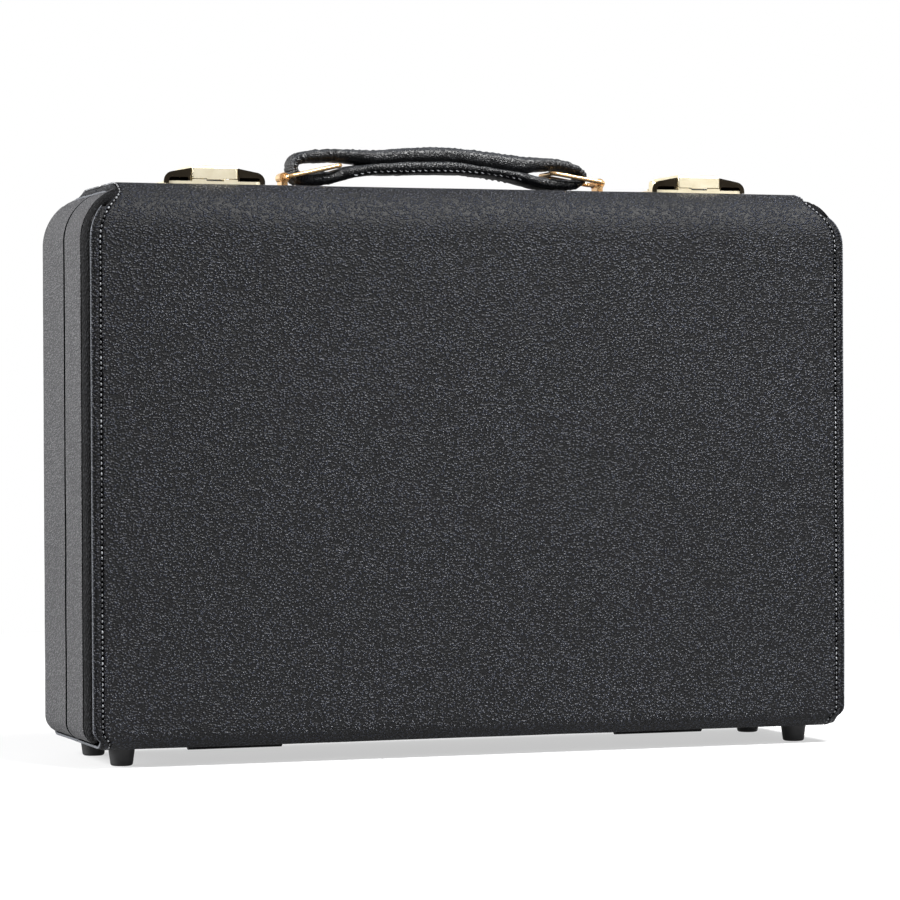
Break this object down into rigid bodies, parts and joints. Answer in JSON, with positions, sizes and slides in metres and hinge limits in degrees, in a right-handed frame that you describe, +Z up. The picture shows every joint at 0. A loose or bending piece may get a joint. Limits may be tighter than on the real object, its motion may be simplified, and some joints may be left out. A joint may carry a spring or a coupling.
{
  "type": "clarinet case",
  "caption": "Hard leather-covered case on small feet, with two lift latches, a strap handle on wire rings, stop hinges and a fitted bed inside.",
  "frame": {"origin": "on the floor, under the middle of the case's outer box", "axes": "+X along the case, +Y from the lid's face to the base's back, +Z up to the handle"},
  "size_m": [0.364, 0.094, 0.2791],
  "materials": {
    "cover_leather": "fine pebble grain, satin",
    "end_leather": "fine pebble grain, satin",
    "bead_leather": "smooth rolled edge",
    "handle_leather": "soft, slightly glossy",
    "plywood": "bare ply",
    "lining_cloth": "short plush",
    "plush": "plush",
    "rubber": "matt",
    "screw_steel": "plain steel",
    "dark_steel": "black lacquered",
    "pale_gold": "polished, pale gold plate",
    "warm_gold": "polished, warm gold plate"
  },
  "bodies": {
    "base": {"base_feet": "rubber", "base_foot_screws": "screw_steel", "base_hinge_leaf_left": "dark_steel", "base_hinge_leaf_right": "dark_steel", "base_hinge_screws": "dark_steel", "hinge_pins": "dark_steel", "latch_housing_left": "pale_gold", "latch_housing_right": "pale_gold", "latch_pins": "pale_gold", "latch_springs": "screw_steel", "latch_rivets": "pale_gold", "handle_post_left": "warm_gold", "handle_post_right": "warm_gold", "post_rivets": "warm_gold", "base_shell": "plywood", "base_cover": "cover_leather", "base_lining": "lining_cloth", "base_end_left": "end_leather", "base_end_right": "end_leather", "rim_tongue": "plywood", "bed_rails": "plush", "bed_floors": "plush", "bed_board": "plush"},
    "lid": {"lid_feet": "rubber", "lid_foot_screws": "screw_steel", "lid_hinge_leaf_left": "dark_steel", "lid_hinge_leaf_right": "dark_steel", "lid_hinge_screws": "dark_steel", "strike_plate_left": "pale_gold", "strike_wings_left": "pale_gold", "strike_plate_right": "pale_gold", "strike_wings_right": "pale_gold", "strike_rivets": "pale_gold", "lid_shell": "plywood", "lid_cover": "cover_leather", "lid_lining": "lining_cloth", "lid_bead_left": "bead_leather", "lid_end_left": "end_leather", "lid_bead_right": "bead_leather", "lid_end_right": "end_leather", "lid_pad": "plush"},
    "handle": {"handle_strap": "handle_leather", "handle_core": "screw_steel"},
    "ring_left": {"handle_ring_left": "warm_gold"},
    "ring_right": {"handle_ring_right": "warm_gold"},
    "lever_left": {"latch_lever_left": "pale_gold", "latch_catch_left": "screw_steel"},
    "lever_right": {"latch_lever_right": "pale_gold", "latch_catch_right": "screw_steel"}
  },
  "joints": [
    {"name": "lid_hinge", "type": "hinge", "parent": "base", "child": "lid", "pos_m": [0, -0.002, 0.0057], "axis": [1, 0, 0], "range_deg": [0, 105], "deforming": ["latch_catch_left", "latch_catch_right"]},
    {"name": "handle_lift", "type": "slide", "parent": "base", "child": "handle", "axis": [0, 0, 1], "range_m": [0, 0.012]},
    {"name": "ring_left_turn", "type": "hinge", "parent": "base", "child": "ring_left", "pos_m": [-0.0776, 0.006, 0.2636], "axis": [0, -1, 0], "range_deg": [-0.5, 30.82]},
    {"name": "ring_right_turn", "type": "hinge", "parent": "base", "child": "ring_right", "pos_m": [0.0776, 0.006, 0.2636], "axis": [0, 1, 0], "range_deg": [-0.5, 29.63]},
    {"name": "lever_left_lift", "type": "hinge", "parent": "base", "child": "lever_left", "pos_m": [-0.1176, 0.006, 0.2635], "axis": [-1, 0, 0], "range_deg": [0, 75], "stiffness_Nm_per_rad": 0.02, "springref_deg": -17.19},
    {"name": "lever_right_lift", "type": "hinge", "parent": "base", "child": "lever_right", "pos_m": [0.1176, 0.006, 0.2635], "axis": [-1, 0, 0], "range_deg": [0, 75], "stiffness_Nm_per_rad": 0.02, "springref_deg": -17.19}
  ],
  "couplings": [
    {"joint": "ring_left_turn", "follows": "handle_lift", "rad_per_m": 44.092},
    {"joint": "ring_right_turn", "follows": "handle_lift", "rad_per_m": 42.368}
  ]
}
